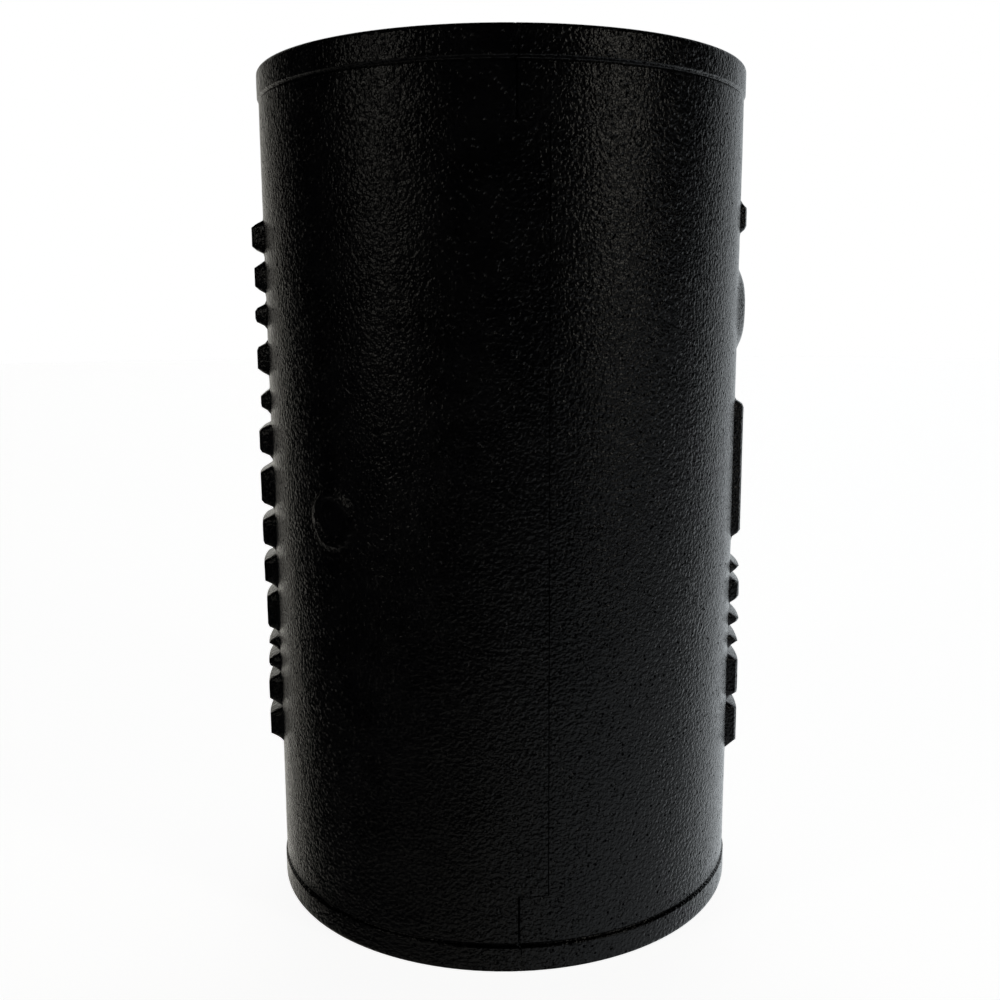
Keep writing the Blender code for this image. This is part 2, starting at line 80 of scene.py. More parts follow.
LUG_TOP = 80 * MM
EAR_WIDTH = 7.5 * MM
EAR_RADIUS = 9.5 * MM
EYE_RADIUS = 10.5 * MM
BOLT_RADIUS = 6 * MM
THREAD_PITCH = 1.75 * MM
LINER_OUTER_RADIUS = 48.7 * MM
LINER_INNER_RADIUS = 44.75 * MM
LINER_HALF_GAP = 0.4 * MM
PLATE_LEFT_ANGLE = 14
PLATE_RIGHT_ANGLE = 8.5

BOLT_NUMBERS = (1, 2, 3)

# How far cutting solids reach past what they cut
CUT_MARGIN = 9 * MM


def middle(node):
    """The centre of a CAD node's box."""
    low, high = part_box(node)
    return (low + high) / 2


BOLT_HEIGHTS = [middle(f"swing_bolt_{n}").z for n in BOLT_NUMBERS]


# Mesh helpers

# Edges that bend by more degrees than this are shaded sharp
SHARP_ANGLE = 35


def polar(radius, degrees, height=0.0):
    """The point at this radius, angle round the pipe and height."""
    angle = math.radians(degrees)
    return Vector((radius * math.sin(angle), -radius * math.cos(angle), height))


def smooth_step(x):
    """0 up to 0, 1 from 1 on, and an S-shaped rise between."""
    x = min(max(x, 0.0), 1.0)
    return x * x * (3 - 2 * x)


def plateau(x, low, high, draft):
    """1 between low and high and 0 outside, with a slope of the draft's width inside each end."""
    return smooth_step((x - low) / draft) * smooth_step((high - x) / draft)


def spread(low, high, count):
    """Evenly spaced numbers from just above low up to high."""
    return [low + (high - low) * (i + 1) / count for i in range(count)]


def join_rings(mesh, rings, closed_loop=False):
    """Faces between neighbouring rings, and a cap at each end unless the rings form a loop."""
    pairs = list(zip(rings, rings[1:]))
    if closed_loop:
        pairs.append((rings[-1], rings[0]))
    for near, far in pairs:
        for k, vertex in enumerate(near):
            after = (k + 1) % len(near)
            mesh.faces.new((vertex, near[after], far[after], far[k]))
    if not closed_loop:
        mesh.faces.new(rings[0])
        mesh.faces.new(list(reversed(rings[-1])))


def circle(radius, sides, centre=(0.0, 0.0)):
    """The corners of a polygon that stands for a circle, as (x, y)."""
    angles = [math.tau * (i + 0.5) / sides for i in range(sides)]
    return [(centre[0] + radius * math.cos(a), centre[1] + radius * math.sin(a)) for a in angles]


def arc(radius, centre, start, end, steps):
    """Points along an arc, from and to these angles in degrees from +X."""
    angles = [math.radians(start + (end - start) * i / steps) for i in range(steps + 1)]
    return [(centre[0] + radius * math.cos(a), centre[1] + radius * math.sin(a)) for a in angles]


def add_prism(mesh, outline, low, high, turn=Matrix.Identity(4)):
    """The (x, y) outline drawn out from low to high along z, then placed."""
    rings = []
    for z in (low, high):
        rings.append([mesh.verts.new(turn @ Vector((x, y, z))) for x, y in outline])
    join_rings(mesh, rings)


def add_turned(mesh, profile, sides, turn=Matrix.Identity(4)):
    """The (radius, height) outline turned about z, then placed."""
    rings = []
    for radius, z in profile:
        rings.append([mesh.verts.new(turn @ Vector((x, y, z))) for x, y in circle(radius, sides)])
    join_rings(mesh, rings)


def rounded_rod(radius, low, high, edge, steps=3):
    """The outline of a rod whose two ends have rounded edges."""
    bends = [math.radians(90 * i / steps) for i in range(steps + 1)]
    lower = [(radius - edge + edge * math.sin(a), low + edge - edge * math.cos(a)) for a in bends]
    return lower + [(r, low + high - z) for r, z in reversed(lower)]


def to_object(name, mesh, sharp=SHARP_ANGLE):
    """An object made from a bmesh, with faces that point out and round sides shaded smooth."""
    bmesh.ops.recalc_face_normals(mesh, faces=mesh.faces)
    data = bpy.data.meshes.new(name)
    mesh.to_mesh(data)
    mesh.free()
    data.shade_smooth()
    data.set_sharp_from_angle(angle=math.radians(sharp))
    obj = bpy.data.objects.new(name, data)
    bpy.context.scene.collection.objects.link(obj)
    return obj


def apply_modifiers(obj):
    """Replaces an object's mesh with what its modifiers make of it."""
    graph = bpy.context.evaluated_depsgraph_get()
    made = bpy.data.meshes.new_from_object(obj.evaluated_get(graph))
    obj.modifiers.clear()
    obj.data = made


def combine_objects(target, tool, operation):
    """Joins the tool to the target, cuts it away or keeps what they share, and uses it up."""
    modifier = target.modifiers.new("combine", "BOOLEAN")
    modifier.operation = operation
    modifier.solver = "MANIFOLD"
    modifier.object = tool
    apply_modifiers(target)
    bpy.data.objects.remove(tool)


def combine(target, mesh, operation):
    """The same with a bmesh as the tool."""
    combine_objects(target, to_object("tool", mesh), operation)


def finish_piece(obj, body, replaced, material, sharp=SHARP_ANGLE):
    """Gives a piece its shading and material, and ties it to its body and CAD nodes."""
    obj.data.shade_smooth()
    obj.data.set_sharp_from_angle(angle=math.radians(sharp))
    obj.data.materials.clear()
    obj.data.materials.append(material)
    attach(obj, body)
    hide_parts(*replaced)


# Turns what is drawn along z so that it runs along +X
ALONG_X = Matrix(((0, 0, 1, 0), (0, 1, 0, 0), (-1, 0, 0, 0), (0, 0, 0, 1)))


# Cast shells

WALL_COLUMNS = 214
WALL_ROW = 0.85 * MM
WALL_END_INSET = 0.6 * MM
WALL_WAVE = 0.11 * MM

# Plain casting marks. Their angles and the draft of their long sides are in degrees.
MARK_HALF_ANGLE = 8
MARK_DRAFT = 1.3
LEFT_MARKS_ANGLE = -90.5
RIGHT_MARKS_ANGLE = 80
# The draft of their ends, then from and to along the pipe, and rise, all in millimetres
MARK_END_DRAFT = 1.9
LEFT_MARKS = (
    (37, 45.8, 3), (46.2, 54.8, 3), (55.2, 60.2, 2.8), (60.8, 64.8, 2.6), (65.4, 76.4, 2.7),
    (77, 85.6, 3), (86.6, 95.8, 3), (97, 107.8, 3), (109.6, 118.2, 2.9), (120.5, 126.5, 2.2),
    (129.5, 138, 2.6), (141, 147.2, 2.7), (149, 157, 2.5), (158.3, 166.5, 2.8),
)  # fmt: skip
RIGHT_MARKS = (
    (33.5, 45.8, 2.7), (46.5, 58.5, 2.7), (60, 64, 2.5), (65.5, 69.7, 2.6), (71.5, 78.8, 2.4),
    (79.3, 83, 2.3), (88.5, 123.5, 2.2), (162.5, 170.5, 1.5),
)  # fmt: skip
ROUNDEL_ANGLE = 84
ROUNDEL_HEIGHT = 145 * MM
ROUNDEL_RADIUS = 13 * MM
ROUNDEL_TOP_RADIUS = 6 * MM
ROUNDEL_RISE = 2.1 * MM
RING_ANGLE = -47
RING_RADIUS = 5.7 * MM
RING_HALF_WIDTH = 0.9 * MM
RING_RISE = 0.6 * MM
# Where the ring's slopes end, in shares of its half width
RING_REACH = 1.4

# Each layer of the castings' unevenness: its size, its share, and a shift that sets it apart
WAVES = (
    (16 * MM, 0.5, (0.0, 0.0, 0.0)),
    (4.5 * MM, 0.3, (7.0, 3.0, 5.0)),
    (1.9 * MM, 0.2, (2.0, 9.0, 4.0)),
)


def mark_height(degrees, z):
    """How far the casting's plain marks stand out of the body at this place."""
    height = 0.0
    for centre, marks in ((LEFT_MARKS_ANGLE, LEFT_MARKS), (RIGHT_MARKS_ANGLE, RIGHT_MARKS)):
        across = plateau(degrees, centre - MARK_HALF_ANGLE, centre + MARK_HALF_ANGLE, MARK_DRAFT)
        if across > 0:
            for low, high, rise in marks:
                along = plateau(z / MM, low, high, MARK_END_DRAFT)
                height = max(height, rise * MM * across * along)
    arc_length = math.radians(degrees - ROUNDEL_ANGLE) * BODY_RADIUS
    distance = math.hypot(arc_length, z - ROUNDEL_HEIGHT)
    slope = (ROUNDEL_RADIUS - distance) / (ROUNDEL_RADIUS - ROUNDEL_TOP_RADIUS)
    height = max(height, ROUNDEL_RISE * smooth_step(slope))
    arc_length = math.radians(degrees - RING_ANGLE) * BODY_RADIUS
    distance = abs(math.hypot(arc_length, z - LENGTH / 2) - RING_RADIUS)
    return max(height, RING_RISE * smooth_step(RING_REACH - distance / RING_HALF_WIDTH))


def cast_wave(place):
    """The slow unevenness of a sand-cast and dipped surface, about -1 to 1."""
    return sum(share * noise.noise(place / size + Vector(shift)) for size, share, shift in WAVES)


BEAD_STEP = 0.7 * MM
GROOVE_HALF_WIDTH = 0.55 * MM
GROOVE_DEPTH = 0.3 * MM


def outer_radius(z):
    """The body's outer radius: a rounded rim, a low bead, and a fine groove beside the bead."""
    end = min(z, LENGTH - z)
    bead = BODY_RADIUS + BEAD_RISE
    if end < RIM_ROUND:
        return bead - RIM_ROUND + math.sqrt(max(RIM_ROUND**2 - (RIM_ROUND - end) ** 2, 0))
    groove = GROOVE_DEPTH * smooth_step(1 - abs(end - BEAD_WIDTH) / GROOVE_HALF_WIDTH)
    return bead - BEAD_RISE * smooth_step((end - BEAD_WIDTH + BEAD_STEP) / BEAD_STEP) - groove


def wall_rows():
    """Heights of the wall's rows of points, closer together over the rims and the grooves."""
    rim = [RIM_ROUND * (1 - math.cos(math.radians(90 * i / 6))) for i in range(7)]
    near, far = BEAD_WIDTH - 1.0 * MM, BEAD_WIDTH + 0.8 * MM
    body = spread(far, LENGTH / 2, round((LENGTH / 2 - far) / WALL_ROW))
    lower = rim + spread(RIM_ROUND, near, 6) + spread(near, far, 16) + body
    return lower + [LENGTH - z for z in reversed(lower[:-1])]


def make_wall(name, side):
    """A half's wall as one closed sweep, with the marks and the unevenness in its outer face."""
    start = -SEAM_OVERLAP_ANGLE
    end = 180 - math.degrees(math.asin((REAR_HALF_GAP + WALL_END_INSET) / BODY_RADIUS))
    rows = wall_rows()
    inside = [
        (LIP_RADIUS, LENGTH),
        (LIP_RADIUS, LENGTH - LIP_WIDTH),
        (INNER_RADIUS, LENGTH - LIP_WIDTH),
        (INNER_RADIUS, LIP_WIDTH),
        (LIP_RADIUS, LIP_WIDTH),
        (LIP_RADIUS, 0),
    ]
    mesh = bmesh.new()
    rings = []
    for i in range(WALL_COLUMNS + 1):
        degrees = side * (start + (end - start) * i / WALL_COLUMNS)
        ring = []
        for z in rows:
            radius = outer_radius(z)
            off_end = smooth_step(min(z, LENGTH - z) / RIM_ROUND)
            wave = WALL_WAVE * (cast_wave(polar(radius, degrees, z)) - 1) * off_end
            raised = radius + wave + mark_height(degrees, z)
            ring.append(mesh.verts.new(polar(raised, degrees, z)))
        ring += [mesh.verts.new(polar(radius, degrees, z)) for radius, z in inside]
        rings.append(ring)
    join_rings(mesh, rings)
    return to_object(name, mesh)


RIB_ROOT = 49.6 * MM
RIB_TOP = 63 * MM
RIB_FAR_X = 12.5 * MM
LUG_HALF_WIDTH = 18 * MM
LUG_CHAMFER = 3 * MM
GUSSET_WIDTH = 4.5 * MM
CAST_VOXEL = 0.9 * MM
CAST_SMOOTH_STEPS = 7
# The flanges' unevenness: its share of the wall's, and how far its middle is set in
FLANGE_WAVE_SHARE = 0.8
FLANGE_WAVE_INSET = 0.6
# The hidden piece of wall that a flange grows out of: its angles from the rear seam, and how
# far it stays inside the real wall at its outer face, inner face and ends
SECTOR_NEAR = 3.2
SECTOR_FAR = 44
SECTOR_OUTER_INSET = 0.25 * MM
SECTOR_INNER_INSET = 1.2 * MM
SECTOR_END_INSET = 1.5 * MM


def soften_casting(obj):
    """Turns overlapping rough solids into one casting with rounded edges and filled-in corners."""
    remesh = obj.modifiers.new("cast", "REMESH")
    remesh.mode = "VOXEL"
    remesh.voxel_size = CAST_VOXEL
    smooth = obj.modifiers.new("soften", "SMOOTH")
    smooth.factor = 0.5
    smooth.iterations = CAST_SMOOTH_STEPS
    apply_modifiers(obj)
    moves = []
    for vertex in obj.data.vertices:
        wave = cast_wave(vertex.co) - FLANGE_WAVE_INSET
        moves.append(vertex.normal * WALL_WAVE * FLANGE_WAVE_SHARE * wave)
    for vertex, move in zip(obj.data.vertices, moves):
        vertex.co += move


def rear_wall_sector(mesh, side):
    """A piece of wall just under the real one's skin, for the flange and lugs to grow out of."""
    near, far = 90 - side * SECTOR_NEAR, 90 - side * SECTOR_FAR
    outline = arc(BODY_RADIUS - SECTOR_OUTER_INSET, (0, 0), near, far, 30)
    outline += arc(INNER_RADIUS + SECTOR_INNER_INSET, (0, 0), far, near, 30)
    add_prism(mesh, outline, LIP_WIDTH + SECTOR_END_INSET, LENGTH - LIP_WIDTH - SECTOR_END_INSET)


def add_rib(mesh, side):
    """The plain rib that runs the whole way along a half's rear edge."""
    near, far = side * REAR_HALF_GAP, side * RIB_FAR_X
    outline = [(near, RIB_ROOT + MM), (far, RIB_ROOT + MM), (far, RIB_TOP - 2 * MM)]
    outline += [(far - side * 2 * MM, RIB_TOP), (near, RIB_TOP)]
    add_prism(mesh, outline, LIP_WIDTH, LENGTH - LIP_WIDTH)


def make_fork_flange():
    """The right half's rear flange before its slots are cut: a rib, and three gusseted blocks."""
    mesh = bmesh.new()
    rear_wall_sector(mesh, 1)
    add_rib(mesh, 1)
    root = RIB_ROOT + 2 * MM
    block = [
        (REAR_HALF_GAP, root),
        (LUG_FACE_X, root),
        (LUG_FACE_X, LUG_TOP - LUG_CHAMFER),
        (LUG_FACE_X - LUG_CHAMFER, LUG_TOP),
        (REAR_HALF_GAP + LUG_CHAMFER, LUG_TOP),
        (REAR_HALF_GAP, LUG_TOP - LUG_CHAMFER),
    ]
    gusset = [
        (10 * MM, 51 * MM),
        (LUG_FACE_X - MM, CLEVIS.y + MM),
        (LUG_FACE_X + MM, CLEVIS.y),
        (36 * MM, 46 * MM),
        (32 * MM, 42 * MM),
    ]
    for z in BOLT_HEIGHTS:
        add_prism(mesh, block, z - LUG_HALF_WIDTH, z + LUG_HALF_WIDTH)
        for low in (z - LUG_HALF_WIDTH, z + LUG_HALF_WIDTH - GUSSET_WIDTH):
            add_prism(mesh, gusset, low, low + GUSSET_WIDTH)
    flange = to_object("right_flange", mesh)
    soften_casting(flange)
    return flange


def make_eye_flange():
    """The left half's rear flange before its gaps are cut: a rib, and three pairs of ears."""
    mesh = bmesh.new()
    rear_wall_sector(mesh, -1)
    add_rib(mesh, -1)
    outline = [(-REAR_HALF_GAP, RIB_ROOT + 2 * MM), (-REAR_HALF_GAP - 0.3 * MM, CLEVIS.y)]
    outline += arc(EAR_RADIUS, CLEVIS.xy, 30, 165, 18)
    outline += [(-34 * MM, 46 * MM), (-30 * MM, 43 * MM)]
    for z in BOLT_HEIGHTS:
        for low in (z - SLOT_HALF_WIDTH - EAR_WIDTH, z + SLOT_HALF_WIDTH):
            add_prism(mesh, outline, low, low + EAR_WIDTH)
    flange = to_object("left_flange", mesh)
    soften_casting(flange)
    return flange


SEAM_CUT_WIDTH = 27 * MM


def around_hinge(radius, degrees):
    """The point at this distance from the hinge's axis, and this angle from straight outwards."""
    angle = math.radians(degrees)
    return (radius * math.sin(angle), HINGE_Y - radius * math.cos(angle))


def seam_cutter(mesh, side, own, skin_radius, notch_radius, low, high):
    """What a half loses at the seam: all but its own knuckle, or room for the other half's."""
    if own:
        inner_end = 180 - math.degrees(math.asin(FRONT_HALF_GAP / KNUCKLE_RADIUS))
        outer_end = -math.degrees(math.asin(FRONT_HALF_GAP / skin_radius))
    else:
        opening = math.degrees(math.asin(FRONT_HALF_GAP / notch_radius))
        inner_end, outer_end = 180 + opening, 360 - opening
    outer, inner = HINGE_Y - CUT_MARGIN, HINGE_Y + CUT_MARGIN
    outline = [(-FRONT_HALF_GAP, outer), (SEAM_CUT_WIDTH, outer)]
    outline += [(SEAM_CUT_WIDTH, inner), (-FRONT_HALF_GAP, inner)]
    for i in range(KNUCKLE_STEPS + 1):
        degrees = inner_end + (outer_end - inner_end) * i / KNUCKLE_STEPS
        radius = notch_radius
        if own:
            inwards = min(max((abs(degrees) - KNUCKLE_SKIN_ANGLE) / KNUCKLE_SKIN_ANGLE, 0), 1)
            radius = skin_radius + (KNUCKLE_RADIUS - skin_radius) * inwards
        outline.append(around_hinge(radius, degrees))
    add_prism(mesh, [(-side * x, y) for x, y in outline], low, high)


def shape_seam(shell, side):
    """Cuts a half's edge at the front seam to its flush knuckles, and bores the pin's hole."""
    low = END_KNUCKLE_LENGTH - side * KNUCKLE_HALF_GAP
    high = LENGTH - low
    ends, centre, hole = bmesh.new(), bmesh.new(), bmesh.new()
    for start, end in ((-CUT_MARGIN, low), (high, LENGTH + CUT_MARGIN)):
        seam_cutter(ends, side, side > 0, END_KNUCKLE_SKIN_RADIUS, END_NOTCH_RADIUS, start, end)
    combine(shell, ends, "DIFFERENCE")
    seam_cutter(centre, side, side < 0, KNUCKLE_SKIN_RADIUS, NOTCH_RADIUS, low, high)
    combine(shell, centre, "DIFFERENCE")
    outline = circle(PIN_HOLE_RADIUS, 32, (0, HINGE_Y))
    add_prism(hole, outline, -CUT_MARGIN, LENGTH + CUT_MARGIN)
    combine(shell, hole, "DIFFERENCE")


SPOT_FACE_RADIUS = 12.9 * MM
SPOT_FACE_DEPTH = 0.35 * MM
SPOT_FACE_REACH = 7 * MM


def cut_slots(shell):
    """The bolt slots through the right half's lugs, and the flat spot that each washer bears on."""
    slots, spots = bmesh.new(), bmesh.new()
    slot = [(SLOT_HALF_WIDTH, LUG_TOP + CUT_MARGIN)]
    slot += arc(SLOT_HALF_WIDTH, (0, CLEVIS.y), 0, -180, 20)
    slot.append((-SLOT_HALF_WIDTH, LUG_TOP + CUT_MARGIN))
    spot = circle(SPOT_FACE_RADIUS, 64)
    low, high = LUG_FACE_X - SPOT_FACE_DEPTH, LUG_FACE_X + SPOT_FACE_REACH
    for z in BOLT_HEIGHTS:
        place = Matrix.Translation((0, 0, z)) @ ALONG_X
        add_prism(slots, slot, -CUT_MARGIN, LUG_FACE_X + CUT_MARGIN, place)
        place = Matrix.Translation((0, CLEVIS.y, z)) @ ALONG_X
        add_prism(spots, spot, low, high, place)
    combine(shell, slots, "DIFFERENCE")
    combine(shell, spots, "DIFFERENCE")


def cut_eye_gaps(shell):
    """The gaps between the left half's ears, and the holes for the clevis pins."""
    gaps, holes = bmesh.new(), bmesh.new()
    floor, top = CLEVIS.y - EYE_RADIUS - MM, LUG_TOP + CUT_MARGIN
    far = CLEVIS.x - 3 * EYE_RADIUS
    reach = SLOT_HALF_WIDTH + EAR_WIDTH + 2 * MM
    for z in BOLT_HEIGHTS:
        gap = [(far, floor), (0, floor), (0, top), (far, top)]
        add_prism(gaps, gap, z - SLOT_HALF_WIDTH, z + SLOT_HALF_WIDTH)
        add_prism(holes, circle(CLEVIS_HOLE_RADIUS, 40, CLEVIS.xy), z - reach, z + reach)
    combine(shell, gaps, "DIFFERENCE")
    combine(shell, holes, "DIFFERENCE")


def make_left_shell(material):
    """The half that stays: its wall, its flange with the ears, and the long middle knuckle."""
    shell = make_wall("left_casting", -1)
    combine_objects(shell, make_eye_flange(), "UNION")
    shape_seam(shell, -1)
    cut_eye_gaps(shell)
    finish_piece(shell, "left_half", ["left_shell"], material)


def make_right_shell(material):
    """The half that opens: its wall, its flange with the slots, and the two end knuckles."""
    shell = make_wall("right_casting", 1)
    combine_objects(shell, make_fork_flange(), "UNION")
    shape_seam(shell, 1)
    cut_slots(shell)
    finish_piece(shell, "right_half", ["right_shell"], material)


# Liners and bridge plate

CELL = 8 * MM
CELL_RIB = 2.6 * MM
CELL_SLOPE = 0.6 * MM
CELL_DEPTH = 0.9 * MM
# The pocket in a liner's back for the bridge plate: its radius, and degrees past the plate
POCKET_RADIUS = 47.3 * MM
POCKET_MARGIN = 1


def cell_stops(low, high):
    """Places across a span where the waffle's slopes begin and end, with 1 at a recess's floor."""
    count = max(1, round((high - low - CELL_RIB) / CELL))
    pitch = (high - low - CELL_RIB) / count
    stops = [(low, 0)]
    for i in range(count):
        near = low + CELL_RIB + pitch * i
        far = near + pitch - CELL_RIB
        stops += [(near, 0), (near + CELL_SLOPE, 1), (far - CELL_SLOPE, 1), (far, 0)]
    stops.append((high, 0))
    return stops


def make_liner(name, side, material):
    """A half's rubber liner, with a waffle of square recesses in its sealing face."""
    low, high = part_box(f"{name}_liner")
    half_turn = math.pi * LINER_INNER_RADIUS
    rows = cell_stops(low.z, high.z)
    columns = []
    for place, recess in cell_stops(LINER_HALF_GAP, half_turn - LINER_HALF_GAP):
        columns.append((math.degrees(place / LINER_INNER_RADIUS), recess))
    finer = []
    for near, far in zip(columns, columns[1:]):
        finer.append(near)
        if near[1] == far[1]:
            finer.append(((near[0] + far[0]) / 2, near[1]))
    finer.append(columns[-1])
    plate_angle = PLATE_LEFT_ANGLE if side < 0 else PLATE_RIGHT_ANGLE
    pocket_angle = 180 - POCKET_MARGIN - plate_angle
    mesh = bmesh.new()
    rings = []
    for degrees, column_recess in finer:
        outer = POCKET_RADIUS if degrees > pocket_angle else LINER_OUTER_RADIUS
        ring = [mesh.verts.new(polar(outer, side * degrees, high.z))]
        ring.append(mesh.verts.new(polar(outer, side * degrees, low.z)))
        for z, row_recess in rows:
            radius = LINER_INNER_RADIUS + CELL_DEPTH * column_recess * row_recess
            ring.append(mesh.verts.new(polar(radius, side * degrees, z)))
        rings.append(ring)
    join_rings(mesh, rings)
    piece = to_object(f"{name}_gasket", mesh, 25)
    body = "left_half" if side < 0 else "right_half"
    finish_piece(piece, body, [f"{name}_liner"], material, 25)


def make_bridge_plate(material):
    """The thin bent plate behind the liners at the rear seam, with its edges broken."""
    low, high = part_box("bridge_plate")
    outer = LINER_OUTER_RADIUS - 0.1 * MM
    inner = outer - 0.8 * MM
    edge = 0.2 * MM
    profile = [
        (inner, low.z + edge),
        (inner + edge, low.z),
        (outer - edge, low.z),
        (outer, low.z + edge),
        (outer, high.z - edge),
        (outer - edge, high.z),
        (inner + edge, high.z),
        (inner, high.z - edge),
    ]
    steps = 28
    mesh = bmesh.new()
    rings = []
    for i in range(steps + 1):
        degrees = -180 - PLATE_RIGHT_ANGLE + (PLATE_LEFT_ANGLE + PLATE_RIGHT_ANGLE) * i / steps
        rings.append([mesh.verts.new(polar(r, degrees, z)) for r, z in profile])
    join_rings(mesh, rings)
    piece = to_object("seam_bridge", mesh)
    finish_piece(piece, "left_half", ["bridge_plate"], material)


# Fasteners

THREAD_DEPTH = 0.6134 * THREAD_PITCH
# A flank's rise over half a pitch, in thread depths, and how far it is lowered to leave flats
THREAD_SLOPE = 1.35
THREAD_FLAT = 0.175
THREAD_START = 21 * MM
THREAD_RUN_IN = 1.5 * THREAD_PITCH
THREAD_ROW = THREAD_PITCH / 8
TIP_CHAMFER = 1.3 * MM
TIP_SLOPE = 0.9


def thread_radius(turn, x, major):
    """The radius of a right-handed thread with flat crests and roots."""
    place = (x / THREAD_PITCH - turn) % 1.0
    flank = min(max(THREAD_SLOPE * abs(2 * place - 1) - THREAD_FLAT, 0.0), 1.0)
    return major - THREAD_DEPTH * (1 - flank)


def make_swing_bolt(number, height, material):
    """An eye bolt with a forged eye, a tapered neck and a rolled thread up to its chamfered tip."""
    low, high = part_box(f"swing_bolt_{number}")
    tip = high.x - CLEVIS.x
    major = BOLT_RADIUS - 0.05 * MM
    half_width = (high.z - low.z) / 2
    place = Matrix.Translation((CLEVIS.x, CLEVIS.y, height))
    eye = bmesh.new()
    add_turned(eye, rounded_rod(EYE_RADIUS, -half_width, half_width, 1.6 * MM, 5), 72, place)
    bolt = to_object(f"eye_bolt_{number}", eye)
    neck = bmesh.new()
    columns = 48
    plain = [(6.15 * MM, 6 * MM), (6.1 * MM, 10.5 * MM), (major, 13.5 * MM), (major, THREAD_START)]
    rings = [[(r, x)] * columns for r, x in plain]
    count = round((tip - THREAD_START) / THREAD_ROW)
    for i in range(1, count + 1):
        x = THREAD_START + (tip - THREAD_START) * i / count
        start_share = smooth_step((x - THREAD_START) / THREAD_RUN_IN)
        tip_limit = major - max(0.0, x - tip + TIP_CHAMFER) * TIP_SLOPE
        ring = []
        for k in range(columns):
            cut = major - thread_radius((k + 0.5) / columns, x, major)
            ring.append((min(major - cut * start_share, tip_limit), x))
        rings.append(ring)
    angles = [math.tau * (k + 0.5) / columns for k in range(columns)]
    made = []
    for ring in rings:
        spots = [(x, r * math.cos(a), r * math.sin(a)) for (r, x), a in zip(ring, angles)]
        made.append([neck.verts.new(place @ Vector(spot)) for spot in spots])
    join_rings(neck, made)
    combine(bolt, neck, "UNION")
    hole = bmesh.new()
    lip = 0.7 * MM
    profile = [
        (CLEVIS_HOLE_RADIUS + 2 * lip, -half_width - lip),
        (CLEVIS_HOLE_RADIUS, -half_width + lip),
        (CLEVIS_HOLE_RADIUS, half_width - lip),
        (CLEVIS_HOLE_RADIUS + 2 * lip, half_width + lip),
    ]
    add_turned(hole, profile, 48, place)
    combine(bolt, hole, "DIFFERENCE")
    node = f"swing_bolt_{number}"
    finish_piece(bolt, f"bolt_{number}", [node], material, 30)


def make_washer(number, material):
    """A stamped washer: rounded on the side it was punched from, and sharper on the other."""
    low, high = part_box(f"washer_{number}")
    thickness = high.x - low.x
    radius = (high.z - low.z) / 2 - 0.02 * MM
    hole = BOLT_RADIUS + 0.5 * MM
    edge = 0.35 * MM
    profile = [
        (hole, edge * 0.5),
        (hole + edge * 0.5, 0),
        (radius - edge, 0),
        (radius - edge * 0.3, edge * 0.3),
        (radius, edge),
        (radius, thickness - edge * 0.4),
        (radius - edge * 0.4, thickness),
        (hole + edge, thickness),
        (hole, thickness - edge),
    ]
    place = Matrix.Translation((low.x, CLEVIS.y, middle(f"washer_{number}").z)) @ ALONG_X
    mesh = bmesh.new()
    loops = []
    for r, x in profile:
        loops.append([mesh.verts.new(place @ Vector((y, z, x))) for y, z in circle(r, 72)])
    join_rings(mesh, loops, closed_loop=True)
    washer = to_object(f"flat_washer_{number}", mesh)
    node = f"washer_{number}"
    finish_piece(washer, node, [node], material)


def make_nut(number, material):
    """A hexagon nut with both faces chamfered and its hole countersunk at both ends."""
    low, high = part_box(f"nut_{number}")
    thickness = high.x - low.x
    flats = (high.z - low.z) / 2
    corner = flats / math.cos(math.pi / 6)
    place = Matrix.Translation((low.x, CLEVIS.y, middle(f"nut_{number}").z)) @ ALONG_X
    rise = (corner - flats) * 0.62
    face = flats * 0.96
    chamfer = rise * (corner - face) / (corner - flats) * 0.75
    profile = [
        (face, 0),
        (corner + 0.1 * MM, chamfer),
        (corner + 0.1 * MM, thickness - chamfer),
        (face, thickness),
    ]
    mesh = bmesh.new()
    add_turned(mesh, profile, 96, place)
    nut = to_object(f"hex_nut_{number}", mesh)
    hexagon = bmesh.new()
    add_prism(hexagon, circle(corner, 6), -MM, thickness + MM, place)
    combine(nut, hexagon, "INTERSECT")
    hole = bmesh.new()
    radius = BOLT_RADIUS + 0.3 * MM
    funnel = 0.8 * MM
    profile = [
        (radius + 2 * funnel, -funnel),
        (radius, funnel),
        (radius, thickness - funnel),
        (radius + 2 * funnel, thickness + funnel),
    ]
    add_turned(hole, profile, 72, place)
    combine(nut, hole, "DIFFERENCE")
    node = f"nut_{number}"
    finish_piece(nut, node, [node], material, 25)


CLEVIS_PIN_RADIUS = 4 * MM
CLEVIS_PIN_CHAMFER = 0.8 * MM
PIN_HEAD_RADIUS = 6.45 * MM
PIN_HEAD_HEIGHT = 3 * MM
PIN_DOME_HEIGHT = 1.1 * MM
CROSS_HOLE_RADIUS = 1.5 * MM


